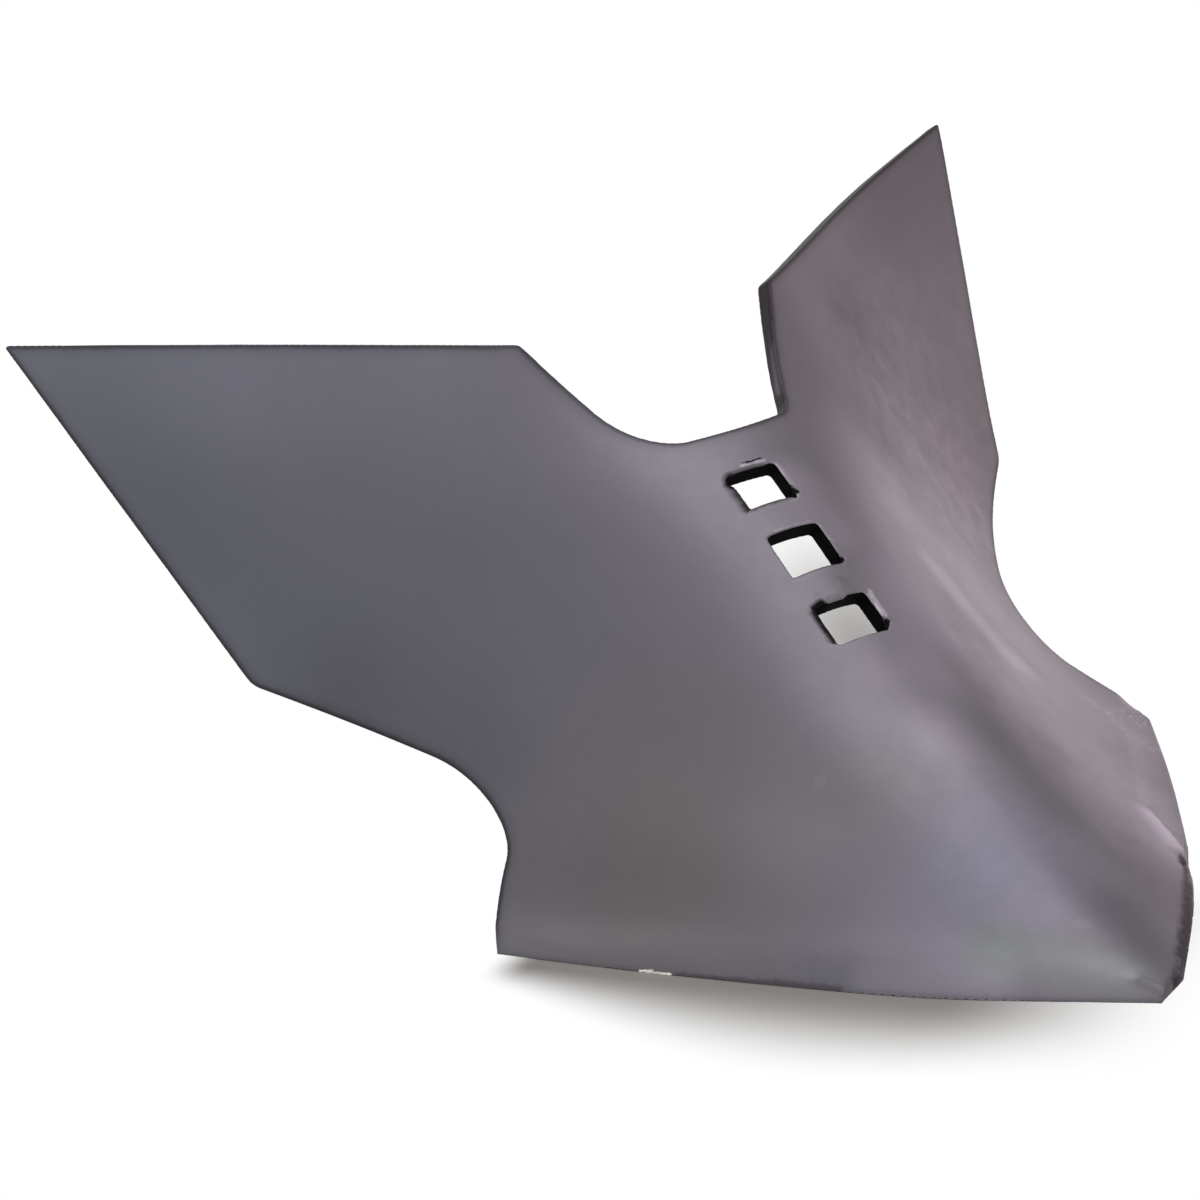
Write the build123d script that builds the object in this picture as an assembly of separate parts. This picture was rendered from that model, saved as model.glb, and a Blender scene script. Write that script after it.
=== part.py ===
from build123d import *
from math import atan2, degrees
import os

# Furrower shovel: one pressed steel plate, in millimetres.
# X runs across the blade, Y runs back and Z runs up. The cutting edges lie level,
# as they do at work. The blade is drawn standing on the ground plane, with its middle
# plane at X = 0, and then moved so that the origin is the centre of the middle bolt
# hole on the back face, where the shank is bolted on.

plate = 4.5  # thickness of the steel

# The front face is drawn as level lines, the same on the left and the right.
# Each line has points at these distances out from the middle plane.
POINTS_OUT = (0.0, 10.0, 28.0, 50.0, 72.0, 110.0, 150.0, 180.0)
# A level line is its height, then how far forward it stands at each of those points.
# The first and the last line, and the outer points of each, lie beyond the plate.
LEVELS = (
    (-14.0, (174.0, 166.0, 145.0, 117.5, 86.0, 20.0, -34.5, -63.0)),
    (0.0, (141.5, 133.5, 113.0, 84.0, 50.0, -11.0, -55.0, -80.5)),
    (20.0, (94.5, 90.5, 71.0, 39.5, 0.5, -50.5, -80.5, -102.5)),
    (37.0, (65.0, 61.5, 42.5, 10.5, -26.0, -70.5, -97.0, -117.0)),
    (57.0, (35.0, 32.0, 16.0, -14.0, -45.5, -83.5, -109.5, -130.0)),
    (79.0, (7.0, 4.5, -9.5, -34.0, -60.5, -93.0, -119.5, -140.5)),
    (107.0, (-31.0, -31.5, -37.5, -53.5, -74.0, -103.5, -130.0, -151.0)),
    (136.0, (-54.0, -54.5, -57.0, -69.5, -87.0, -115.5, -140.5, -161.0)),
    (162.0, (-64.0, -65.0, -68.5, -81.0, -97.0, -126.5, -152.0, -172.0)),
)
columns = 31  # points read off each level line

# Square bolt holes along the middle of the blade, from the top one down
hole_height = 77.0  # height of the middle hole
hole_pitch = 23.0
hole_width = 14.3
HOLE_LENGTHS = (13.0, 14.3, 12.6)
hole_corner = 1.2

# The outline of the plate, seen from the front: how far out and how high
valley_rise = 26.0  # from the middle hole up to the gap between the wings
TIP = (153.0, 154.9)
INNER = (37.4, 132.9)
VALLEY = (21.4, hole_height + valley_rise)
OUTER = (120.3, 57.0)
WAIST = (74.6, 28.2)
REAR = (99.4, 0.0)
tip_round = 0.8
inner_round = 2.0
left_valley_round = 20.0
right_valley_round = 5.0
outer_round = 5.0
waist_round = 13.5

# The cutting edge on the ground, seen from above: how far out and how far forward
CUTTING_EDGE = (
    (0.0, 139.5),
    (8.0, 130.5),
    (32.0, 103.3),
    (56.0, 69.0),
    (76.0, 37.5),
    (97.3, 1.2),
    (110.0, -20.0),
)
left_lean = 1.5  # how far back the bevel of the left edge leans, for its height
right_lean = 0.3
bevel_reach = 14.0  # the bevels run out on the front face below this height
NOSE_CUT = ((-3.0, 137.0), (5.5, 132.5))  # the ends of the blunt nose, left and right

reach = 400.0  # longer than the blade, for cuts that run right through it


def level_line(height, forward):
    """One level line of the front face, from its left end to its right end."""
    right = [(x, -y, height) for x, y in zip(POINTS_OUT, forward)]
    left = [(-x, y, z) for x, y, z in reversed(right[1:])]
    return Spline(*left, *right)


def front_face():
    """The front face, larger than the plate on every side."""
    rows = []
    for level in LEVELS:
        line = level_line(*level)
        rows.append([line @ (k / (columns - 1)) for k in range(columns)])
    return Face.make_surface_from_array_of_points(rows, tol=0.05, min_deg=3, max_deg=3)


def outline():
    """The outline of the plate on the XZ plane, run on below the ground."""
    depth = -LEVELS[0][0]
    slope = (REAR[0] - WAIST[0]) / (WAIST[1] - REAR[1])
    foot = (REAR[0] + slope * depth, -depth)
    right = [foot, WAIST, OUTER, TIP, INNER, VALLEY]
    left = [(-x, y) for x, y in reversed(right)]
    face = make_face(Polyline(*right, *left, close=True))
    for (x, y), left_round, right_round in (
        (TIP, tip_round, tip_round),
        (INNER, inner_round, inner_round),
        (VALLEY, left_valley_round, right_valley_round),
        (OUTER, outer_round, outer_round),
        (WAIST, waist_round, waist_round),
    ):
        face = fillet(face.vertices().sort_by_distance((-x, y))[:1], left_round)
        face = fillet(face.vertices().sort_by_distance((x, y))[:1], right_round)
    return Plane.XZ * face


def bevel(side, lean):
    """What the bevel takes off one side: all that lies in front of its leaning face."""
    edge = Spline(*[(side * x, -y, 0) for x, y in CUTTING_EDGE])
    rise = Vector(0, lean * bevel_reach, bevel_reach)
    face = Face.extrude(edge.moved(Location(-rise)), 2 * rise)
    return Solid.extrude(face, Vector(0, -reach, 0))


def nose_end():
    """What lies in front of the blunt nose."""
    (left, left_forward), (right, right_forward) = NOSE_CUT
    turn = degrees(atan2(left_forward - right_forward, right - left))
    place = Pos(left, -left_forward, 0) * Rot(Z=turn)
    return place * Box(reach, reach, reach, align=(Align.CENTER, Align.MAX, Align.CENTER))


def seat(face):
    """The plane of the middle hole on the front face, with X across and Z out of the face."""
    axis = Axis((0, -reach, hole_height), (0, 1, 0))
    point, normal = face.find_intersection_points(axis)[0]
    if normal.Z < 0:
        normal = -normal
    return Plane(origin=point, x_dir=(1, 0, 0), z_dir=normal)


def punches(place):
    """The three square punches of the bolt holes, at the seat."""
    made = []
    for k, length in enumerate(HOLE_LENGTHS):
        square = RectangleRounded(hole_width, length, hole_corner)
        made.append(extrude(place * Pos(0, (1 - k) * hole_pitch, 0) * square, 4 * plate, both=True))
    return made


def shovel_blade():
    """The whole blade, with its origin at the middle bolt hole on the back face."""
    face = front_face()
    place = seat(face)
    pressed = (face & extrude(outline(), reach, both=True)).faces()[0]
    for punch in punches(place):
        pressed = (pressed - punch).faces()[0]
    back = 1 if pressed.normal_at().Y > 0 else -1
    blade = Solid.thicken(pressed, back * plate)
    ground = Pos(0, 0, -reach / 2) * Box(2 * reach, 2 * reach, reach)
    blade = blade - ground - bevel(-1, left_lean) - bevel(1, right_lean) - nose_end()
    return blade.moved(Location(place.z_dir * plate - place.origin))


if __name__ == "__main__":
    os.makedirs("parts", exist_ok=True)
    blade = shovel_blade()
    export_step(blade, "parts/shovel_blade.step")
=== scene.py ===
from math import cos, radians, tan

import bpy
import numpy as np
from mathutils import Matrix, Vector, noise
from mathutils.kdtree import KDTree

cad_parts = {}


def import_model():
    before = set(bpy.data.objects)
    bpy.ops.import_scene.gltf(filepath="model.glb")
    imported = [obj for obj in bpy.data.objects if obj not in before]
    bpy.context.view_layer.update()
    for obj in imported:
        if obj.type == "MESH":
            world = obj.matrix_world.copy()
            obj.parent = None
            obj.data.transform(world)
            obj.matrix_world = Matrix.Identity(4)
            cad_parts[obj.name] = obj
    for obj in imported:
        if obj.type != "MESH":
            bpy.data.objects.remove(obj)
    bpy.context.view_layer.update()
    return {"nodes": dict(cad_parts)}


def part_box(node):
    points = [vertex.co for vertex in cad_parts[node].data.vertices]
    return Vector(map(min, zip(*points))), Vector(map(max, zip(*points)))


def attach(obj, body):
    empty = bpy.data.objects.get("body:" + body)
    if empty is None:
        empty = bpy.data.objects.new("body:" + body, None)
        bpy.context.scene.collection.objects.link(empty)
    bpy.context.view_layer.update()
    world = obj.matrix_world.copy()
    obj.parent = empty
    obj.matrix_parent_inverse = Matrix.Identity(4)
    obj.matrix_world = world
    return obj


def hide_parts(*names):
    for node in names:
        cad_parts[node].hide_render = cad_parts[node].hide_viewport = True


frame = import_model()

# The looks of the furrower shovel: one pressed plate of dark heat treated steel.
# The plate is rebuilt here from the CAD node's own surface with fine triangles, so that
# its rims, worn corners and torn bolt holes have a true shape.
# Lengths and places are in metres, and mm() gives them from millimetres.

NODE = "shovel_blade"
BODY = "root"


def mm(*values):
    """Millimetres in metres: one number, or a place."""
    return values[0] / 1000 if len(values) == 1 else Vector(values) / 1000


# Camera: the place it looks from, and its turns, fitted to the photograph
CAMERA_PLACE = (-0.2391, -0.48247, 0.14152)
CAMERA_AZIMUTH = 20.93  # degrees to the right of straight back
CAMERA_DROP = 14.75  # degrees below level
CAMERA_ROLL = 11.45  # degrees, the right side of the camera down
CAMERA_VIEW = 29.86  # degrees, the width and the height of the view

# The plate, at its bolt holes: how thick it is, and which way is out of its front face and
# which way is up along it. Across the plate is X.
PLATE = mm(4.5)
OUT = Vector((0, -0.62166, 0.783287))
UP = Vector((0, 0.783287, 0.62166))
BEND_ACROSS = 0.0082  # how far the face bends back beside the middle hole, per mm squared
BEND_UP = 0.001  # and above and below it

# Sizes of the triangles: FINE at the rims, and larger with the distance from them
FINE = mm(0.5)
COARSE = mm(3.5)
GROWTH = 0.35
LONGEST = 1.5  # an edge this many times as long as its size is split
SOFT_FINE = mm(1.2)  # along the soft top edge of the bevels
HOLE_FINE = mm(0.6)  # at the bolt holes
HOLE_FINE_AREA = (10, 34)  # within so many millimetres to the sides of the middle hole, and up
HOLE_AREA = (9, 31)  # or down from it. All the rims and walls of the holes lie within this one.
RIM_ANGLE = 30.0  # at least so many degrees between two faces that meet in a rim
SOFT_ANGLE = 4.0  # and in a soft edge
RIM_STEP = mm(0.4)  # between the places on a rim from which distances are measured
STRIP_TOP = mm(-69)  # the ground strips of the cutting edges lie below this

# Wear of the rims
RIM_WEAR = mm(0.16)  # how far a rim is worn back
RIM_WAVE = mm(0.05)  # and how much that differs along it
RIM_REACH = mm(0.9)  # how far from the rim the wear reaches
WAVE_SCALE = 120.0  # waves in a metre
SOFT_REACH = mm(9)  # how far from a soft edge the plate is rounded
SOFT_RIM = mm(3)  # nearer than this to a rim it is rounded less
SOFT_ROUNDS = 40

# Worn places: the middle, the radius and how far the steel is worn away there
WORN = (
    (mm(97, 7, -70), mm(9), mm(-1.9, 0, 0)),  # right rear corner
    (mm(42, -79, -70), mm(12), mm(-0.9, 0, 0)),  # right edge behind the nose
    (mm(40.5, -83.5, -70.2), mm(2.6), mm(-0.9, 0.3, 0)),  # notch there
)

# Torn rims of the bolt holes. Each is a line along the front face, from start to end as
# millimetres across and up from the middle hole, its radius, how deep the face is there, and
# how far its rim is rolled across and up, all in millimetres.
TORN = (
    ((-7.2, 17.6), (-7.2, 26.0), 2.0, 0.7, (1.6, 0.0)),  # the top hole, left side
    ((-7.0, 26.5), (-5.4, 28.6), 2.2, 1.4, (0.4, -0.3)),  # and its corner
    ((-3.8, 29.2), (4.0, 29.3), 1.2, 0.6, (0.0, 0.0)),  # and its top
    ((-6.4, 16.6), (4.5, 16.6), 1.7, 0.4, (0.0, 0.9)),  # and its foot
    ((7.2, 19.5), (8.0, 18.7), 1.0, 1.6, (0.0, 0.0)),  # its ragged right corner
    ((-6.0, -7.1), (6.0, -7.1), 1.4, 0.2, (0.0, 0.7)),  # the foot of the middle hole
    ((7.2, -5.0), (7.7, -5.4), 0.8, 1.4, (0.0, 0.0)),  # and its right corner
    ((-7.2, -18.0), (-7.2, -27.0), 1.8, 0.9, (0.7, 0.0)),  # the bottom hole, left side
    ((-6.8, -16.9), (-4.6, -16.3), 1.1, 1.2, (0.0, 0.4)),  # its wavy top
    ((-2.6, -16.7), (0.6, -16.7), 1.6, 0.2, (0.0, -0.7)),
    ((7.2, -27.2), (8.1, -26.4), 1.1, 1.8, (0.0, 0.0)),  # its hooked right corner
    ((8.7, -17.0), (8.0, -25.3), 0.8, -0.35, (0.0, 0.0)),  # the burr beside it stands up
)
TORN_CORE = 1.3  # how full the torn lines are
TORN_WAVE = 0.3  # how much their depth differs, as a share of it
TORN_WAVE_SCALE = 900.0  # waves in a metre
TORN_DEPTHS = (-0.6, 1.2)  # only what lies between these is torn: 0 is the front face, 1 the back

# The floor is plain white, and takes the shade of the blade in two places: in front of the
# left cutting edge, from its rear corner to the nose, and behind the middle of the blade.
FLOOR_SIZE = 60.0
FLOOR_COLOUR = (0.85, 0.85, 0.85, 1)
EDGE_REAR = mm(-99, 4)
EDGE_NOSE = mm(-1, -131)
EDGE_SHADE = mm(43)  # how far out from the edge the shade reaches, at its widest
EDGE_WIDEST = 0.2  # where that is, from -1 at the rear corner to 1 at the nose
EDGE_REAR_WIDTH = 0.12  # how wide it starts behind the rear corner, as a share of the widest
EDGE_NOSE_LOSS = 0.22  # how much narrower it is at the nose
BACK_SHADE = mm(78, 120, 0)
BACK_SHADE_SIZE = (mm(235), mm(38), 1)
BACK_SHADE_TURN = 69.0  # degrees
BACK_SHADE_DEPTH = 0.8

# Light. The world is white in reflections, and weaker and warmer as light on the floor.
WORLD_LIGHT = (1.06, 1.0, 0.94, 1)
WORLD_LIGHT_STRENGTH = 0.27
# The place of each lamp, its size and its power in watts
OVERHEAD = ((0.0, 0.1, 1.2), (1.1, 1.1), 8.0)
RIGHT = ((1.39, 0.56, 0.0), (0.6, 0.3), 2.3)


def camera():
    """The camera at the photograph's viewing angle."""
    data = bpy.data.cameras.new("camera")
    data.sensor_width = 36.0
    data.lens = data.sensor_width / 2 / tan(radians(CAMERA_VIEW) / 2)
    data.clip_start = 0.01
    place = bpy.data.objects.new("camera", data)
    turn = (
        Matrix.Rotation(radians(-CAMERA_AZIMUTH), 4, "Z")
        @ Matrix.Rotation(radians(90 - CAMERA_DROP), 4, "X")
        @ Matrix.Rotation(radians(-CAMERA_ROLL), 4, "Z")
    )
    place.matrix_world = Matrix.Translation(CAMERA_PLACE) @ turn
    bpy.context.scene.collection.objects.link(place)
    bpy.context.scene.camera = place


class Nodes:
    """Adds shader nodes to a tree. What it adds is given back as its output socket."""

    def __init__(self, tree):
        self.tree = tree

    def add(self, kind, inputs=(), output=0, **settings):
        made = self.tree.nodes.new("ShaderNode" + kind)
        for name, value in settings.items():
            setattr(made, name, value)
        for key, value in dict(inputs).items():
            if isinstance(value, bpy.types.NodeSocket):
                self.tree.links.new(value, made.inputs[key])
            else:
                made.inputs[key].default_value = value
        return made.outputs[output]

    def math(self, operation, *values, clamp=False):
        return self.add("Math", enumerate(values), operation=operation, use_clamp=clamp)

    def vector(self, operation, *values, output=0):
        return self.add("VectorMath", enumerate(values), output, operation=operation)

    def fade(self, value, start, end):
        """0 where the value is at start, 1 where it is at end, and smooth between."""
        limits = {"Value": value, "From Min": start, "From Max": end}
        return self.add("MapRange", limits, interpolation_type="SMOOTHSTEP")

    def between(self, value, low, high):
        """The value from 0 to 1 stretched to run from low to high."""
        return self.add("MapRange", {"Value": value, "To Min": low, "To Max": high})

    def attribute(self, name):
        return self.add("Attribute", output=2, attribute_name=name)

    def noise(self, place, size, detail=2.0, roughness=0.5):
        """Noise from 0 to 1, with lumps of about this size."""
        inputs = {"Vector": place, "Scale": 1 / size, "Detail": detail, "Roughness": roughness}
        return self.add("TexNoise", inputs)

    def mix(self, share, first, second, blend="MIX"):
        """The first colour, or the second where the share is 1."""
        inputs = {0: share, 6: first, 7: second}
        return self.add("Mix", inputs, 2, data_type="RGBA", blend_type=blend)

    def line(self, place, start, end, radius, core=0.3):
        """1 in the core of the line from start to end, and 0 beyond its radius.

        The core is a share of the radius.
        """
        run = end - start
        off = self.vector("SUBTRACT", place, start)
        share = run / max(run.length_squared, 1e-12)
        along = self.vector("DOT_PRODUCT", off, share, output=1)
        along = self.math("ADD", along, 0.0, clamp=True)
        along = self.add("CombineXYZ", {0: along, 1: along, 2: along})
        nearest = self.vector("MULTIPLY", along, run)
        gap = self.vector("DISTANCE", off, nearest, output=1)
        return self.fade(gap, radius, radius * core)

    def fold_highlight(self, place, start, end, side):
        """1 at the line from start to end, and fading out to one side, as far as side reaches."""
        run = end - start
        off = self.vector("SUBTRACT", place, start)
        along = self.vector("DOT_PRODUCT", off, run / run.length_squared, output=1)
        out = self.vector("DOT_PRODUCT", off, side / side.length_squared, output=1)
        out = self.math("MULTIPLY", self.fade(out, 1.0, 0.0), self.fade(out, -0.06, 0.02))
        ends = self.math("MULTIPLY", self.fade(along, -0.1, 0.3), self.fade(along, 1.1, 0.9))
        return self.math("MULTIPLY", out, ends)

    def most(self, shares):
        """The largest of several shares."""
        most = shares[0]
        for share in shares[1:]:
            most = self.math("MAXIMUM", most, share)
        return most

    def surface(self, shader):
        """The material's output."""
        out = self.tree.nodes.new("ShaderNodeOutputMaterial")
        self.tree.links.new(shader, out.inputs["Surface"])


def new_material(name):
    """A material with an empty tree."""
    material = bpy.data.materials.new(name)
    material.use_nodes = True
    material.node_tree.nodes.clear()
    return material, Nodes(material.node_tree)


# Colours of the steel, as it shines in white light
VIOLET = (0.120, 0.120, 0.144, 1)
NOSE_VIOLET = (0.126, 0.119, 0.150, 1)
WING_WARM = (0.154, 0.123, 0.140, 1)
WARM = (0.148, 0.124, 0.140, 1)
BROWN = (0.140, 0.122, 0.124, 1)
# GREENISH is also the colour of the painted reflection of the shaded floor left of the nose
GREENISH = (0.118, 0.126, 0.122, 1)
# near black, for the painted shade in the bolt holes
SHADE_BLACK = (0.006, 0.0055, 0.006, 1)
CUT = (0.046, 0.038, 0.043, 1)
ROUGH = (0.030, 0.021, 0.026, 1)
# near white, for the painted glint at a chip in the left cutting edge
CHIP_GLINT_WHITE = (0.80, 0.77, 0.72, 1)
EDGE_TINT = (0.78, 0.75, 0.78, 1)  # of what shines in the steel when seen along its face
WHITE = (1, 1, 1, 1)

# From the first to the second of these places across the blade it turns from violet to warm
WARMER = (mm(-120), mm(90))

# Bloom of other colours: the middle of each patch, and its radius
BROWN_PATCHES = ((mm(-68, -18, -52), mm(72)), (mm(110, 60, 20), mm(90)))
NOSE_PATCHES = ((mm(-12, -84, -55), mm(36)),)
WING_PATCHES = ((mm(68, 74, 32), mm(48)), (mm(95, 82, -12), mm(34)))
GREEN_PATCHES = (
    (mm(-18, -55, -40), mm(26)),
    (mm(-105, 70, -10), mm(40)),
    (mm(60, 5, -40), mm(55)),
)

# Painted light and shade: lines along which the steel is painted lighter or darker, for its
# highlights and dark bands. For each: the ends of the line, its radius, and how bright it is there
PAINTED_LIGHT_AND_SHADE = (
    (mm(145, 145, 75), mm(111, 100, 4), mm(75), 0.75),  # right wing
    (mm(64, 86, 61), mm(71, 86, 48), mm(28), 0.89),
    (mm(67, 78, 36), mm(58, 58, 17), mm(30), 0.6),
    (mm(101, 126, 71), mm(80, 86, 28), mm(34), 0.83),
    (mm(51, 44, 7), mm(60, 43, -9), mm(24), 0.8),
    (mm(75, 76, 15), mm(72, 80, 24), mm(14), 0.93),
    (mm(83, 76, 1.5), mm(103, 81, -22.5), mm(26), 0.88),
    (mm(42.7, 36.4, 10.5), mm(16.5, -26.6, -20.7), mm(26), 1.33),  # foot of the right wing
    (mm(16.5, -26.6, -20.7), mm(7.1, -56.5, -36.5), mm(20), 1.05),
    (mm(43, 10, -17), mm(50, -8, -40), mm(11), 1.45),  # the bright streak above the right cheek
    (mm(60, 30, -20), mm(75, -5, -60), mm(40), 1.48),  # right cheek
    (mm(45, -20, -45), mm(40, -75, -66), mm(26), 1.39),
    (mm(31, -80, -62), mm(31, -70, -58), mm(13), 0.85),
    (mm(32, 25, 0), mm(20, -15, -15), mm(18), 1.09),
    (mm(9.4, 15.7, 16), mm(9, 2, 5), mm(13), 1.37),  # beside the middle
    (mm(16, -11, -8), mm(9, -39, -26), mm(14), 1.09),
    (mm(9, -39, -26), mm(4, -56, -35), mm(13), 1.15),
    (mm(2, -53, -33), mm(9, -94, -59), mm(13), 1.3),
    (mm(17, -23, -19), mm(16, -55, -39), mm(16), 0.93),  # and right of that
    (mm(24.5, -34, -29), mm(29, -52.3, -46.5), mm(15), 0.83),
    (mm(27.6, -52.3, -46.5), mm(15, -75, -50.5), mm(15), 0.89),
    (mm(16, -55, -39), mm(21, -89, -62), mm(16), 0.86),
    (mm(24, -100, -69), mm(20, -104, -68), mm(40), 0.86),  # behind the nose
    (mm(15, -99, -64), mm(3, -118, -68), mm(20), 0.91),
    (mm(-143, 144, 64), mm(-103, 83, -20), mm(35), 0.93),  # left wing, lower edge
    (mm(-140, 150, 80), mm(-55, 85, 75), mm(48), 1.2),  # left wing, along its top
    (mm(-100, 110, 51), mm(-45, 60, 39), mm(40), 1.1),
    (mm(-100, 76, -24), mm(-84, 46, -42), mm(40), 0.85),  # left waist
    (mm(-29, -44, -43), mm(-20, -40, -32), mm(30), 1.08),  # left of the middle
    (mm(-84, 12, -60), mm(-42, -60, -61), mm(22), 0.86),  # above the left cutting edge
    (mm(-90, 4, -73), mm(-5, -122, -70), mm(9), 1.28),  # along it
    (mm(-42, -82, -73), mm(-24, -101, -72), mm(10), 1.35),
)

# Marks: the ends of each line and its radius
NOSE_ROUGH = (  # the rough dark rim of the nose
    (mm(41, -82, -70.5), mm(33.4, -91.9, -71.2), mm(1.6)),
    (mm(33.4, -91.9, -71.6), mm(21.9, -107.1, -72), mm(2.6)),
    (mm(21.9, -107.1, -72), mm(10.4, -119.9, -72), mm(3.0)),
    (mm(10.4, -119.9, -72), mm(3.5, -126.5, -72.2), mm(2.0)),
    (mm(42.4, -80.5, -69.6), mm(40.5, -83, -69.8), mm(1.5)),
)
EDGE_CONTACT_SHADE = (  # painted shade along stretches of the left cutting edge, where it meets the floor
    (mm(-70, -40.4, -73.6), mm(-58, -58.6, -73.5), mm(1.3)),
    (mm(-58, -58.6, -73.5), mm(-47.2, -75.3, -73.3), mm(1.9)),
)
EDGE_CHIP_GLINT = ((mm(-75.2, -32, -73.4), mm(-71.2, -38.5, -73.4), mm(0.95)),)  # a chip in it, painted near white as a glint of light
SIDE_BARE = ((mm(24.3, 44.5, 35), mm(28, 52, 44), mm(4)),)  # where the cut side isn't dark
FOLD_HIGHLIGHT = (mm(46.9, -61.1, -64.6), mm(44.8, -77.9, -70.6))  # a painted highlight along a crease beside the nose
FOLD_HIGHLIGHT_SIDE = mm(-6.5, -0.6, 3.8)  # how far the painted highlight runs out from the crease, to one side
BRIGHT = (  # a light line along the right cutting edge
    (mm(76.8, -16.1, -66.7), mm(57.4, -46.3, -65.3), mm(3.6)),
    (mm(57.4, -46.3, -65.3), mm(48.6, -58.5, -64.5), mm(3.0)),
)
GREEN_EDGE_REFLECTION = ((mm(-20, -96, -67), mm(-4.5, -119.9, -69.6), mm(9)),)  # a painted reflection of the shaded floor, as a greenish strip left of the nose
SPECKLED = (  # light specks at the worn right corner
    (mm(92.8, 2.8, -69.5), mm(83.9, -5.3, -67.2), mm(7)),
    (mm(76.8, -7, -63.2), mm(79.2, -19.5, -69.4), mm(6)),
    (mm(74.9, -1.6, -59.5), mm(74.9, -1.6, -59.5), mm(5)),
)
SCUFFS = (  # small light scuffs
    (mm(59.7, 39.8, -11.4), mm(59.9, 38.2, -12.2), mm(1.6)),
    (mm(48.8, 18.9, -16.5), mm(48.4, 17.5, -17.4), mm(1.4)),
    (mm(-26.4, -42, -39.1), mm(-27.4, -42.6, -39.6), mm(2.2)),
    (mm(-2.3, -107.6, -63.2), mm(-3.6, -106, -62.8), mm(1.6)),
)


def at_holes(across, up):
    """A place on the front face near the bolt holes, from millimetres across and up."""
    bend = mm(across * across * BEND_ACROSS + up * up * BEND_UP)
    return Vector((mm(across), 0, 0)) + UP * mm(up) + OUT * (PLATE - bend)


# More marks, at the bolt holes
HOLE_DIRT = (
    (at_holes(-3.5, -14.8), at_holes(5, -13.6), mm(3.2)),
    (at_holes(-2, -12.2), at_holes(4, -11.6), mm(2.0)),
)
HOLE_BRIGHT = (
    (at_holes(-1.5, 30.9), at_holes(5.2, 30.9), mm(0.55)),
    (at_holes(8.9, -16.4), at_holes(8.4, -24.6), mm(1.15)),
)
HOLE_GLINT = (
    (at_holes(7.8, 29.2), at_holes(8.3, 20.8), mm(0.7)),
    (at_holes(7.8, 6.4), at_holes(8.3, -3.6), mm(0.7)),
    (at_holes(-4.0, 7.9), at_holes(6.0, 7.9), mm(0.6)),
)
# where the dark walls show at the torn corners of the holes, painted black as shade
HOLE_BLACK = (
    (at_holes(-0.5, 31.9), at_holes(4.7, 31.9), mm(0.4)),
    (at_holes(7.1, 20.2), at_holes(7.9, 18.7), mm(0.9)),
    (at_holes(7.1, -4.6), at_holes(7.6, -5.4), mm(0.7)),
    (at_holes(7.1, -28.2), at_holes(8.2, -26.5), mm(0.9)),
)

# How much brighter the steel is in each kind of bright mark
BRIGHT_LIFT = 0.14
FOLD_HIGHLIGHT_LIFT = 0.75
SPECKLED_LIFT = 0.5
SCUFF_LIFT = 0.09
BURR_LIFT = 0.9
GLINT_LIFT = 0.25

# How much it takes on the colour of each of these
GREEN_REFLECTION_SHARE = 0.65
CUT_SHARE = 0.85
EDGE_CONTACT_SHADE_SHARE = 0.55
DIRT_SHARE = 0.35
CUT_DULL = 0.85  # how dull the cut sides are

# Lumps of the steel's surface, by size
CLOUD = mm(55)
MOTTLE = mm(7)
SPECK = mm(1.6)
GRAIN = mm(0.7)
BUMP_HEIGHT = mm(0.05)
WANDER = mm(1.6)  # how far the outlines of the marks wander
WANDER_SCALE = 450.0  # waves in a metre

# The dark line along the rims and the softer band behind it: where each ends and where it is
# full, in millimetres from the rim, and how dark it is
RIM_LINE = (1.9, 0.3, 0.45)
RIM_BAND = (4.5, 0.0, 0.2)
GROUND_RIM = (mm(-72.5), mm(-66))  # from the upper to the lower of these heights the two fade,
GROUND_SHARE = 0.3  # to this share of them


def marks(nodes, place, lines):
    """Where any of these lines is."""
    most = nodes.line(place, *lines[0])
    for line in lines[1:]:
        most = nodes.math("MAXIMUM", most, nodes.line(place, *line))
    return most


def patches(nodes, place, spots):
    """Where any of these soft patches is."""
    most = 0.0
    for middle, radius in spots:
        gap = nodes.vector("DISTANCE", place, middle, output=1)
        most = nodes.math("MAXIMUM", most, nodes.fade(gap, radius, 0.0))
    return most


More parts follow.
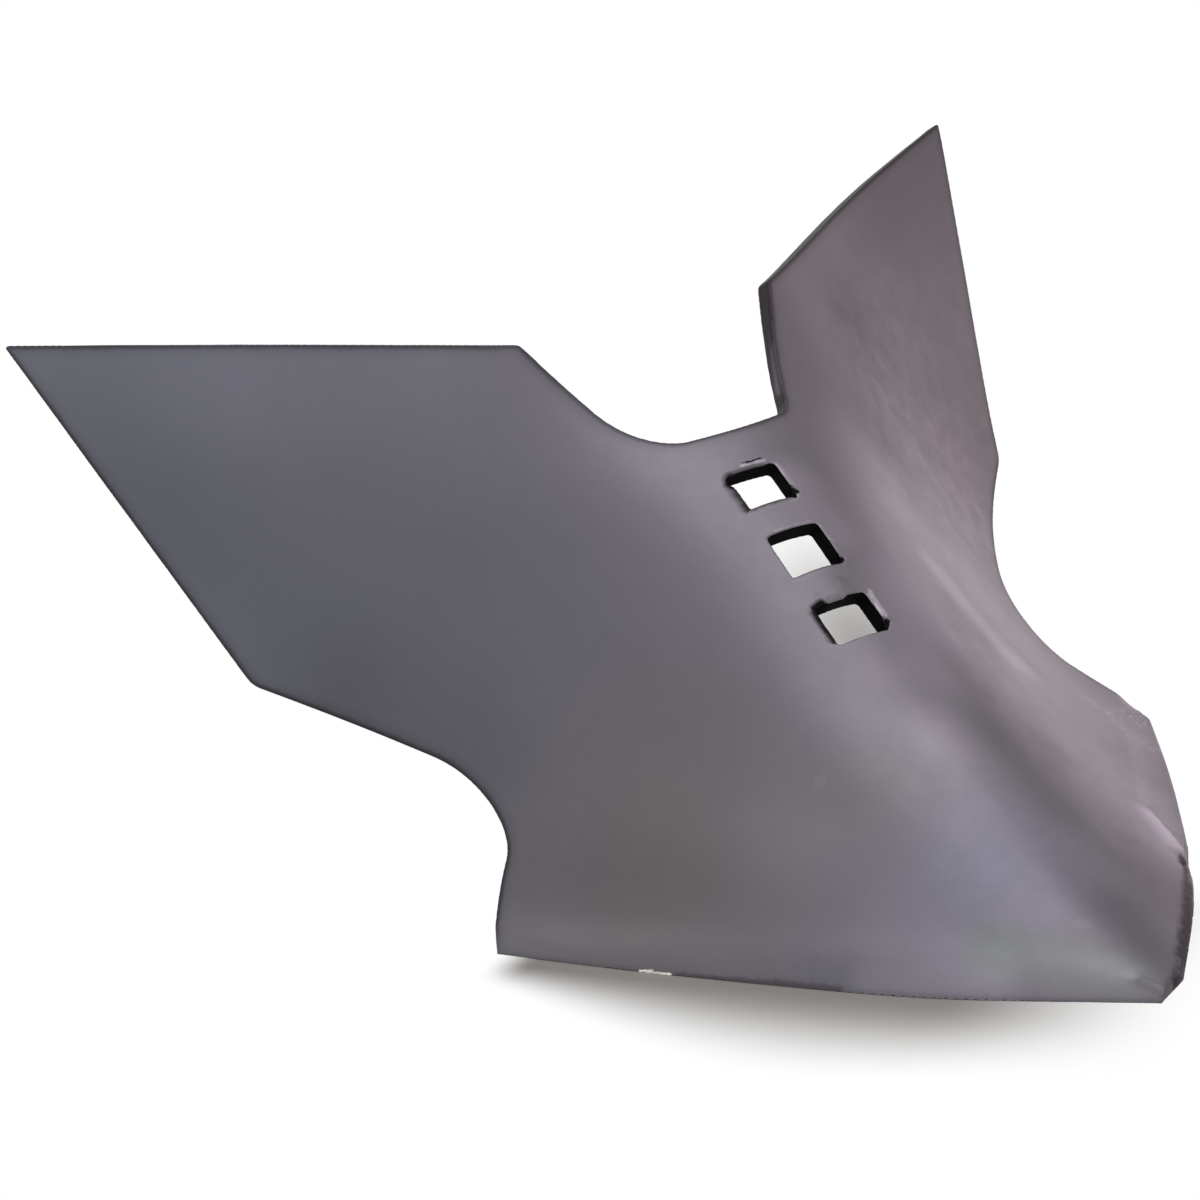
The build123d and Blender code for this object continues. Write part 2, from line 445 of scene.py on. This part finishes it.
def steel():
    """Dark steel with a thin bloom from heat treatment, dark rims and small marks.

    The mesh says how far each point is from a rim and how deep it is torn, in millimetres,
    how much painted light and shade it has, and which faces are cut sides and walls of the bolt
    holes.
    """
    material, nodes = new_material("blade_steel")
    place = nodes.add("TexCoord", output=3)
    rim = nodes.attribute("rim")
    torn = nodes.attribute("torn")
    side = nodes.attribute("side")
    wall = nodes.attribute("wall")

    cloud = nodes.noise(place, CLOUD)
    mottle = nodes.noise(place, MOTTLE, 3.0, 0.6)
    grain = nodes.noise(place, GRAIN, 2.0, 0.6)
    speck = nodes.noise(place, SPECK, 2.0, 0.7)
    wander = nodes.add("TexNoise", {"Vector": place, "Scale": WANDER_SCALE, "Detail": 2.0}, 1)
    wander = nodes.vector("SUBTRACT", wander, (0.5, 0.5, 0.5))
    wander = nodes.add("VectorMath", {0: wander, "Scale": WANDER}, operation="SCALE")
    rough_place = nodes.vector("ADD", place, wander)

    # Large soft differences of colour
    east = nodes.add("SeparateXYZ", {0: place})
    east = nodes.fade(east, *WARMER)
    colour = nodes.mix(east, VIOLET, WARM)
    brown = patches(nodes, place, BROWN_PATCHES)
    brown = nodes.math("MULTIPLY", brown, nodes.between(cloud, 0.6, 1.1))
    colour = nodes.mix(brown, colour, BROWN)
    colour = nodes.mix(patches(nodes, place, NOSE_PATCHES), colour, NOSE_VIOLET)
    colour = nodes.mix(patches(nodes, place, WING_PATCHES), colour, WING_WARM)
    green = patches(nodes, place, GREEN_PATCHES)
    green = nodes.math("MULTIPLY", green, nodes.between(cloud, 0.45, 0.1))
    # A painted reflection of the shaded floor, as a greenish strip left of the nose
    green_reflection = nodes.math("MULTIPLY", marks(nodes, place, GREEN_EDGE_REFLECTION), GREEN_REFLECTION_SHARE)
    green = nodes.most([green, green_reflection])
    colour = nodes.mix(green, colour, GREENISH)

    # Light and dark: clouds, mottle and grain, and the painted light and shade from the mesh
    tone_and_painted_shade = nodes.between(cloud, 0.93, 1.07)
    tone_and_painted_shade = nodes.math("MULTIPLY", tone_and_painted_shade, nodes.between(mottle, 0.95, 1.05))
    tone_and_painted_shade = nodes.math("MULTIPLY", tone_and_painted_shade, nodes.between(grain, 0.93, 1.07))
    tone_and_painted_shade = nodes.math("MULTIPLY", tone_and_painted_shade, nodes.attribute("tone_and_painted_shade"))

    # The rims are darker, with a soft band behind them
    end, full, line_dark = RIM_LINE
    line = nodes.fade(nodes.math("MULTIPLY", rim, nodes.between(mottle, 0.7, 1.3)), end, full)
    end, full, band_dark = RIM_BAND
    band = nodes.fade(nodes.math("MULTIPLY", rim, nodes.between(cloud, 0.6, 1.4)), end, full)
    line = nodes.math("MULTIPLY", line, line_dark)
    band = nodes.math("MULTIPLY", band, band_dark)
    shade = nodes.math("ADD", line, band)
    high = nodes.add("SeparateXYZ", {0: place}, 2)
    clear = nodes.between(nodes.fade(high, *GROUND_RIM), GROUND_SHARE, 1.0)
    shade = nodes.math("MULTIPLY", shade, clear)
    tone_and_painted_shade = nodes.math("MULTIPLY", tone_and_painted_shade, nodes.math("SUBTRACT", 1.0, shade))

    # Bright places: worn specks, scuffs and burrs, a light line along the right cutting edge, a
    # painted highlight along the crease beside the nose, and painted glints on the hole rims
    bright = nodes.math("MULTIPLY", marks(nodes, rough_place, BRIGHT), BRIGHT_LIFT)
    fold_highlight = nodes.math("MULTIPLY", nodes.fold_highlight(rough_place, *FOLD_HIGHLIGHT, FOLD_HIGHLIGHT_SIDE), FOLD_HIGHLIGHT_LIFT)
    speckled = nodes.math("MULTIPLY", marks(nodes, place, SPECKLED), nodes.fade(speck, 0.52, 0.66))
    speckled = nodes.math("MULTIPLY", speckled, SPECKLED_LIFT)
    scuffed = nodes.math("MULTIPLY", marks(nodes, rough_place, SCUFFS), SCUFF_LIFT)
    burr = marks(nodes, rough_place, HOLE_BRIGHT)
    burred = nodes.math("MULTIPLY", burr, nodes.between(speck, 0.2, 1.6))
    burred = nodes.math("MULTIPLY", burred, BURR_LIFT)
    glint = nodes.math("MULTIPLY", marks(nodes, rough_place, HOLE_GLINT), GLINT_LIFT)
    lift = nodes.math("ADD", 1.0, nodes.most([bright, fold_highlight, speckled, scuffed, burred, glint]))
    tone_and_painted_shade = nodes.math("MULTIPLY", tone_and_painted_shade, lift)
    tone_and_painted_shade = nodes.add("CombineColor", {0: tone_and_painted_shade, 1: tone_and_painted_shade, 2: tone_and_painted_shade})
    colour = nodes.mix(1.0, colour, tone_and_painted_shade, "MULTIPLY")

    # Cut sides, painted shade along the left cutting edge, rough nose, dirt, near black painted
    # shade in the bolt holes, and a painted glint at a chip
    bare = nodes.math("SUBTRACT", 1.0, marks(nodes, place, SIDE_BARE))
    cut = nodes.math("MULTIPLY", nodes.math("MULTIPLY", side, bare), CUT_SHARE)
    # Painted shade where the left cutting edge meets the floor
    edge_contact_shade = nodes.math("MULTIPLY", marks(nodes, rough_place, EDGE_CONTACT_SHADE), EDGE_CONTACT_SHADE_SHARE)
    colour = nodes.mix(nodes.most([cut, edge_contact_shade]), colour, CUT)
    rough_nose = marks(nodes, rough_place, NOSE_ROUGH)
    ragged = nodes.math("MULTIPLY", rough_nose, nodes.between(speck, 0.6, 1.1))
    colour = nodes.mix(ragged, colour, ROUGH)
    dirt = marks(nodes, rough_place, HOLE_DIRT)
    dirt = nodes.math("MULTIPLY", dirt, nodes.fade(mottle, 0.35, 0.6))
    colour = nodes.mix(nodes.math("MULTIPLY", dirt, DIRT_SHARE), colour, CUT)
    # Painted shade: the walls of the bolt holes, their torn hollows, darker the deeper they are
    # torn, and the marks at their torn corners are painted near black
    hole_shade = nodes.fade(torn, 0.12, 0.7)
    hole_shade = nodes.math("MULTIPLY", hole_shade, nodes.between(speck, 0.75, 1.0))
    black = marks(nodes, rough_place, HOLE_BLACK)
    hole_shade = nodes.most([wall, hole_shade, black])
    hole_shade = nodes.math("MULTIPLY", hole_shade, nodes.math("SUBTRACT", 1.0, burr))
    colour = nodes.mix(hole_shade, colour, SHADE_BLACK)
    # A chip in the left cutting edge, painted near white as a glint of light
    colour = nodes.mix(marks(nodes, rough_place, EDGE_CHIP_GLINT), colour, CHIP_GLINT_WHITE)

    # Roughness and the fine bumps of the scale
    roughness = nodes.between(mottle, 0.42, 0.56)
    roughness = nodes.math("ADD", roughness, nodes.math("MULTIPLY", hole_shade, 0.3))
    roughness = nodes.math("ADD", roughness, nodes.math("MULTIPLY", rough_nose, 0.15))
    height = nodes.math("ADD", nodes.math("MULTIPLY", grain, 0.35), mottle)
    lumps = nodes.math("MULTIPLY", nodes.math("MULTIPLY", rough_nose, speck), 3.0)
    height = nodes.math("ADD", height, lumps)
    bump = nodes.add("Bump", {"Height": height, "Strength": 0.35, "Distance": BUMP_HEIGHT})
    dull = nodes.most([hole_shade, nodes.math("MULTIPLY", cut, CUT_DULL)])
    inputs = {
        "Base Color": colour,
        "Metallic": nodes.math("SUBTRACT", 1.0, dull),
        "Roughness": roughness,
        "Normal": bump,
        "Specular IOR Level": nodes.between(dull, 0.2, 0.03),
        "Specular Tint": EDGE_TINT,
    }
    nodes.surface(nodes.add("BsdfPrincipled", inputs))
    return material


def read_plate(source):
    """The points, the triangles and the normals at their corners, of a CAD node."""
    mesh = source.data
    points = np.zeros(len(mesh.vertices) * 3)
    mesh.vertices.foreach_get("co", points)
    faces = np.zeros(len(mesh.loops), int)
    mesh.loops.foreach_get("vertex_index", faces)
    normals = np.zeros(len(mesh.loops) * 3)
    mesh.corner_normals.foreach_get("vector", normals)
    spots, index = np.unique(points.reshape(-1, 3).round(7), axis=0, return_inverse=True)
    faces = index.reshape(-1)[faces].reshape(-1, 3)
    whole = (faces != np.roll(faces, 1, axis=1)).all(axis=1)
    return spots, faces[whole], normals.reshape(-1, 3, 3)[whole]


def edges_of(faces):
    """Each edge once, and which edge each side of each triangle is."""
    sides = np.sort(faces[:, [[0, 1], [1, 2], [2, 0]]].reshape(-1, 2), axis=1)
    edges, index = np.unique(sides, axis=0, return_inverse=True)
    return edges, index.reshape(-1, 3)


def side_normals(normals):
    """The unit normal of each triangle at the middle of each side."""
    middle = normals + np.roll(normals, -1, axis=1)
    return middle / np.linalg.norm(middle, axis=2, keepdims=True)


def neighbours(sides):
    """The two triangles at each edge, as places in the list of all sides."""
    order = np.argsort(sides.reshape(-1), kind="stable")
    return order.reshape(-1, 2)


def regions(faces, normals):
    """A number for each triangle, the same for all that join smoothly.

    With it come the rims and the soft edges, as pairs of points.
    """
    edges, sides = edges_of(faces)
    pairs = neighbours(sides)
    middle = side_normals(normals).reshape(-1, 3)
    agree = (middle[pairs[:, 0]] * middle[pairs[:, 1]]).sum(axis=1)
    rim = agree < cos(radians(RIM_ANGLE))
    soft = ~rim & (agree < cos(radians(SOFT_ANGLE)))
    joined = pairs[~rim] // 3
    label = np.arange(len(faces))
    while True:
        least = label[joined].min(axis=1)
        lower = label.copy()
        np.minimum.at(lower, joined[:, 0], least)
        np.minimum.at(lower, joined[:, 1], least)
        if (lower == label).all():
            return label, edges[rim], edges[soft]
        label = lower


def bulges(points, edges, sides, faces, normals):
    """How far the curved plate stands off the middle of each straight edge."""
    run = points[np.roll(faces, -1, axis=1)] - points[faces]
    after = np.roll(normals, -1, axis=1)
    rise = (run * after).sum(axis=2, keepdims=True) * after
    rise -= (run * normals).sum(axis=2, keepdims=True) * normals
    pairs = neighbours(sides)
    both = rise.reshape(-1, 3)[pairs].sum(axis=1) / 8
    middle = side_normals(normals).reshape(-1, 3)[pairs]
    agree = (middle[:, 0] * middle[:, 1]).sum(axis=1)
    return both / np.maximum(1 + agree, 0.6)[:, None]


# How a triangle with 0, 1, 2 or 3 of its sides split is cut up. Corners are 0 to 2, and
# 3 to 5 are the middles of the sides that follow them.
CUTS = {
    0: [(0, 1, 2)],
    1: [(0, 3, 2), (3, 1, 2)],
    2: [(3, 1, 4), (0, 3, 4), (0, 4, 2)],
    3: [(0, 3, 5), (3, 1, 4), (5, 4, 2), (3, 4, 5)],
}


def refine(points, faces, normals, label, size_at):
    """Splits the triangles until no edge is much longer than size_at says for its middle."""
    while True:
        edges, sides = edges_of(faces)
        ends = points[edges]
        length = np.linalg.norm(ends[:, 1] - ends[:, 0], axis=1)
        split = length > LONGEST * size_at(ends.mean(axis=1))
        if not split.any():
            return points, faces, normals, label
        middle = ends.mean(axis=1) + bulges(points, edges, sides, faces, normals)
        number = np.full(len(edges), -1)
        number[split] = len(points) + np.arange(split.sum())
        points = np.vstack([points, middle[split]])
        count = split[sides].sum(axis=1)
        new_faces, new_normals, new_label = [], [], []
        for cuts, parts in CUTS.items():
            chosen = np.where(count == cuts)[0]
            flags = split[sides[chosen]]
            turn = flags.argmax(axis=1) if cuts == 1 else (flags.argmin(axis=1) + 1) % 3
            turn = turn if cuts in (1, 2) else np.zeros(len(chosen), int)
            order = (np.arange(3) + turn[:, None]) % 3
            rows = chosen[:, None]
            corners = np.hstack([faces[rows, order], number[sides[rows, order]]])
            at_corner = normals[rows, order]
            at_middle = side_normals(normals)[rows, order]
            around = np.concatenate([at_corner, at_middle], axis=1)
            for part in parts:
                new_faces.append(corners[:, part])
                new_normals.append(around[:, part])
                new_label.append(label[chosen])
        faces, normals, label = map(np.concatenate, (new_faces, new_normals, new_label))


def distance_to(points, lines):
    """A function of places that gives how far each is from the nearest of these edges."""
    starts, ends = points[lines[:, 0]], points[lines[:, 1]]
    spots = []
    for start, end in zip(starts, ends):
        steps = max(1, round(np.linalg.norm(end - start) / RIM_STEP))
        spots += [start + (end - start) * k / steps for k in range(steps)]
    tree = KDTree(len(spots))
    for k, spot in enumerate(spots):
        tree.insert(spot, k)
    tree.balance()
    return lambda places: np.array([tree.find(place)[2] for place in places])


def smooth(value):
    """Smooth from 0 to 1, and level outside."""
    value = np.clip(value, 0, 1)
    return value * value * (3 - 2 * value)


def point_normals(points, faces):
    """The mean normal of the triangles round each point, by their area."""
    a, b, c = (points[faces[:, k]] for k in range(3))
    across = np.cross(b - a, c - a)
    total = np.zeros_like(points)
    for k in range(3):
        np.add.at(total, faces[:, k], across)
    return total / np.linalg.norm(total, axis=1, keepdims=True)


def soften(points, faces, share):
    """Rounds the plate, by moving points toward the middle of their neighbours.

    Each move is half of the way, times the share.
    """
    edges, _ = edges_of(faces)
    both = np.vstack([edges, edges[:, ::-1]])
    count = np.bincount(both[:, 0], minlength=len(points))[:, None]
    for _ in range(SOFT_ROUNDS):
        total = np.zeros_like(points)
        for axis in range(3):
            total[:, axis] = np.bincount(both[:, 0], points[both[:, 1], axis], len(points))
        points = points + 0.5 * share[:, None] * (total / count - points)
    return points


def gap_to(points, start, end):
    """How far each point is from the line between two others."""
    start, run = np.array(start), np.array(end) - np.array(start)
    along = np.clip(((points - start) @ run) / max(run @ run, 1e-12), 0, 1)
    return np.linalg.norm(points - start - along[:, None] * run, axis=1)


def painted_light_and_shade(points):
    """How much the painted light and shade brighten or darken the steel at each point."""
    tone_and_painted_shade = np.ones(len(points))
    for start, end, radius, change in PAINTED_LIGHT_AND_SHADE:
        tone_and_painted_shade *= 1 + (change - 1) * smooth(1 - gap_to(points, start, end) / radius)
    return tone_and_painted_shade


def near_holes(points):
    """Each point as millimetres across and up from the middle hole, and how deep it lies.

    The depth is 0 at the front face and 1 at the back face.
    """
    across = points[:, 0] * 1000
    up = points @ np.array(UP) * 1000
    depth = (PLATE - points @ np.array(OUT)) / PLATE
    return np.stack([across, up], axis=1), depth


def by_holes(points):
    """Which points are at the bolt holes."""
    flat, _ = near_holes(points)
    return (np.abs(flat) < HOLE_AREA).all(axis=1)


def tear(points):
    """Tears the rims of the bolt holes.

    Gives the points, and how deep each is torn in millimetres.
    """
    flat, depth = near_holes(points)
    deepest = np.zeros(len(points))
    raised = np.zeros(len(points))
    rolled = np.zeros((len(points), 2))
    for start, end, radius, deep, roll in TORN:
        share = smooth(TORN_CORE * (1 - gap_to(flat, start, end) / radius))
        deepest = np.maximum(deepest, deep * share)
        raised = np.minimum(raised, deep * share)
        rolled += share[:, None] * np.array(roll)
    wave = np.array([noise.noise(Vector(p) * TORN_WAVE_SCALE) for p in points[deepest > 0]])
    deepest[deepest > 0] *= 1 + TORN_WAVE * wave
    front = np.clip(1 - depth, 0, 1) * (depth > TORN_DEPTHS[0]) * (depth < TORN_DEPTHS[1])
    move = (deepest + raised) * front
    rolled *= front[:, None]
    shift = rolled[:, :1] * np.array((1, 0, 0)) + rolled[:, 1:] * np.array(UP)
    shift = shift - move[:, None] * np.array(OUT)
    return points + shift / 1000, move


def wear(points, faces, rim):
    """Wears back the rims and the worn places."""
    inward = -point_normals(points, faces)
    close = np.where(rim < RIM_REACH)[0]
    wave = np.array([noise.noise(Vector(points[k]) * WAVE_SCALE) for k in close])
    amount = RIM_WEAR + RIM_WAVE * wave
    fall = (1 - rim[close] / RIM_REACH) ** 2
    moved = points.copy()
    moved[close] += inward[close] * (np.maximum(amount, 0) * fall)[:, None]
    for middle, radius, shift in WORN:
        gap = np.linalg.norm(points - np.array(middle), axis=1)
        moved += smooth(1 - gap / radius)[:, None] * np.array(shift)
    return moved


def set_normals(mesh, points, faces, normals, worn):
    """The CAD surface's normals where the plate is as it was, and the mesh's where it is worn."""
    own = point_normals(points, faces)[faces]
    share = worn[faces][:, :, None]
    mixed = normals * (1 - share) + own * share
    mixed /= np.linalg.norm(mixed, axis=2, keepdims=True)
    mesh.normals_split_custom_set(mixed.reshape(-1, 3).tolist())


def add_values(mesh, name, domain, values):
    """Gives each point or face of the mesh a number, for the material."""
    mesh.attributes.new(name, "FLOAT", domain).data.foreach_set("value", np.asarray(values, float))


def add_parts(mesh, points, faces, label, to_outline, torn):
    """What the material reads off the mesh: rims, torn rims, cut sides, hole walls and painted
    light and shade.
    """
    # The two regions with the most triangles are the front and the back face
    labels, sizes = np.unique(label, return_counts=True)
    faced = np.isin(label, labels[np.argsort(sizes)[-2:]])
    middles = points[faces].mean(axis=1)
    strips = [number for number in labels if middles[label == number, 2].max() < STRIP_TOP]
    hole = by_holes(middles)
    add_values(mesh, "side", "FACE", ~faced & ~hole & ~np.isin(label, strips))
    add_values(mesh, "wall", "FACE", ~faced & hole)
    add_values(mesh, "rim", "POINT", to_outline(points) * 1000)
    add_values(mesh, "torn", "POINT", torn)
    front = point_normals(points, faces) @ np.array(OUT) > 0
    add_values(mesh, "tone_and_painted_shade", "POINT", np.where(front, painted_light_and_shade(points), 1.0))


def plate(source, low, high):
    """The steel plate, from the CAD node, with fine worn rims and torn bolt holes.

    It stays between the lowest and the highest corner of the node.
    """
    points, faces, normals = read_plate(source)
    label, rims, softs = regions(faces, normals)
    to_rim = distance_to(points, rims)
    to_outline = distance_to(points, rims[~by_holes(points[rims].mean(axis=1))])
    to_soft = distance_to(points, softs)

    def size_at(places):
        """The length that the edges of the triangles have at each of these places."""
        flat, _ = near_holes(places)
        out = (np.abs(flat) - HOLE_FINE_AREA).max(axis=1)
        by_rim = FINE + GROWTH * to_rim(places)
        by_soft = SOFT_FINE + GROWTH * np.maximum(to_soft(places) - SOFT_REACH / 2, 0)
        by_hole = HOLE_FINE + GROWTH * np.maximum(out, 0) / 1000
        return np.minimum(np.minimum(by_rim, COARSE), np.minimum(by_soft, by_hole))

    points, faces, normals, label = refine(points, faces, normals, label, size_at)
    rim, soft = to_rim(points), to_soft(points)
    rounded = smooth(1 - soft / SOFT_REACH) * smooth(rim / SOFT_RIM - 0.2)
    points = soften(points, faces, rounded)
    points, torn = tear(points)
    points = wear(points, faces, rim)
    points = np.clip(points, np.array(low), np.array(high))

    mesh = bpy.data.meshes.new("blade")
    mesh.from_pydata(points.tolist(), [], faces.tolist())
    mesh.shade_smooth()
    # Where the plate isn't the CAD node's any more
    worn = smooth(2 - rim / RIM_REACH)
    worn = np.maximum(worn, smooth(rounded * 4))
    worn = np.maximum(worn, smooth(np.abs(torn) * 20))
    for middle, radius, _ in WORN:
        gap = np.linalg.norm(points - np.array(middle), axis=1)
        worn = np.maximum(worn, smooth(2 - gap / radius))
    set_normals(mesh, points, faces, normals, worn)
    add_parts(mesh, points, faces, label, to_outline, torn)
    made = bpy.data.objects.new("blade", mesh)
    bpy.context.scene.collection.objects.link(made)
    return made


def world():
    """The plain white studio."""
    made = bpy.data.worlds.new("studio")
    made.use_nodes = True
    nodes = Nodes(made.node_tree)
    white = made.node_tree.nodes["Background"]
    white.inputs["Color"].default_value = WHITE
    white.inputs["Strength"].default_value = 1.0
    light = nodes.add("Background", {"Color": WORLD_LIGHT, "Strength": WORLD_LIGHT_STRENGTH})
    rays = nodes.add("LightPath").node.outputs
    seen = nodes.most([rays["Is Camera Ray"], rays["Is Glossy Ray"], rays["Is Transmission Ray"]])
    mixed = nodes.add("MixShader", {0: seen, 1: light, 2: white.outputs[0]})
    made.node_tree.links.new(mixed, made.node_tree.nodes["World Output"].inputs["Surface"])
    bpy.context.scene.world = made


def edge_shade(nodes, spot):
    """Where the floor is shaded in front of the left cutting edge."""
    run = EDGE_NOSE - EDGE_REAR
    middle = (EDGE_NOSE + EDGE_REAR) / 2
    half = run.length / 2
    inputs = {
        "Vector": spot,
        "Location": (*middle, 0),
        "Rotation": (0, 0, run.angle_signed(Vector((1, 0)))),
        "Scale": (half, EDGE_SHADE, 1),
    }
    across = nodes.add("Mapping", inputs, vector_type="TEXTURE")
    parts = nodes.add("SeparateXYZ", {0: across}).node.outputs
    along, out = parts["X"], parts["Y"]
    width = nodes.between(nodes.fade(along, -1.4, EDGE_WIDEST), EDGE_REAR_WIDTH, 1.0)
    loss = nodes.math("MULTIPLY", nodes.fade(along, EDGE_WIDEST, 1.0), EDGE_NOSE_LOSS)
    width = nodes.math("SUBTRACT", width, loss)
    # It fades to its outer side, under the blade, and to both ends
    outside = nodes.fade(nodes.math("DIVIDE", out, width), -1.0, -0.13)
    inside = nodes.fade(out, 1.4, 0.8)
    ends = nodes.math("MULTIPLY", nodes.fade(along, -1.0, -0.84), nodes.fade(along, 1.1, 0.4))
    return nodes.math("MULTIPLY", nodes.math("MULTIPLY", outside, inside), ends)


def back_shade(nodes, spot):
    """Where the floor is shaded behind the blade."""
    inputs = {
        "Vector": spot,
        "Location": BACK_SHADE,
        "Rotation": (0, 0, radians(BACK_SHADE_TURN)),
        "Scale": BACK_SHADE_SIZE,
    }
    across = nodes.add("Mapping", inputs, vector_type="TEXTURE")
    flat = nodes.vector("MULTIPLY", across, (1, 1, 0))
    shade = nodes.fade(nodes.vector("LENGTH", flat, output=1), 1.0, 0.0)
    return nodes.math("MULTIPLY", shade, BACK_SHADE_DEPTH)


def floor(height):
    """A plain floor at the height of the cutting edges, with the blade's shade on it."""
    data = bpy.data.meshes.new("floor")
    half = FLOOR_SIZE / 2
    corners = [(x * half, y * half, height) for x, y in ((-1, -1), (1, -1), (1, 1), (-1, 1))]
    data.from_pydata(corners, [], [(0, 1, 2, 3)])
    place = bpy.data.objects.new("floor", data)
    bpy.context.scene.collection.objects.link(place)
    material, nodes = new_material("floor")
    spot = nodes.add("TexCoord", output=3)
    shaded = nodes.most([edge_shade(nodes, spot), back_shade(nodes, spot)])
    plain = nodes.add("BsdfDiffuse", {"Color": FLOOR_COLOUR})
    white = nodes.add("Emission", {"Color": WHITE, "Strength": 1.0})
    nodes.surface(nodes.add("MixShader", {0: shaded, 1: white, 2: plain}))
    data.materials.append(material)


def lamp(name, place, size, power):
    """A soft lamp that shines in the steel, aimed at the blade."""
    data = bpy.data.lights.new(name, "AREA")
    data.shape = "RECTANGLE"
    data.size, data.size_y = size
    data.energy = power
    made = bpy.data.objects.new(name, data)
    made.location = place
    made.rotation_euler = (-Vector(place)).to_track_quat("-Z", "Y").to_euler()
    made.visible_diffuse = False  # it isn't seen in the floor
    bpy.context.scene.collection.objects.link(made)


low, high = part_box(NODE)
camera()
world()
floor(low.z)
lamp("overhead", *OVERHEAD)
lamp("right", *RIGHT)
blade = plate(frame["nodes"][NODE], low, high)
blade.data.materials.append(steel())
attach(blade, BODY)
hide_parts(NODE)
bpy.context.scene.view_settings.view_transform = "Standard"
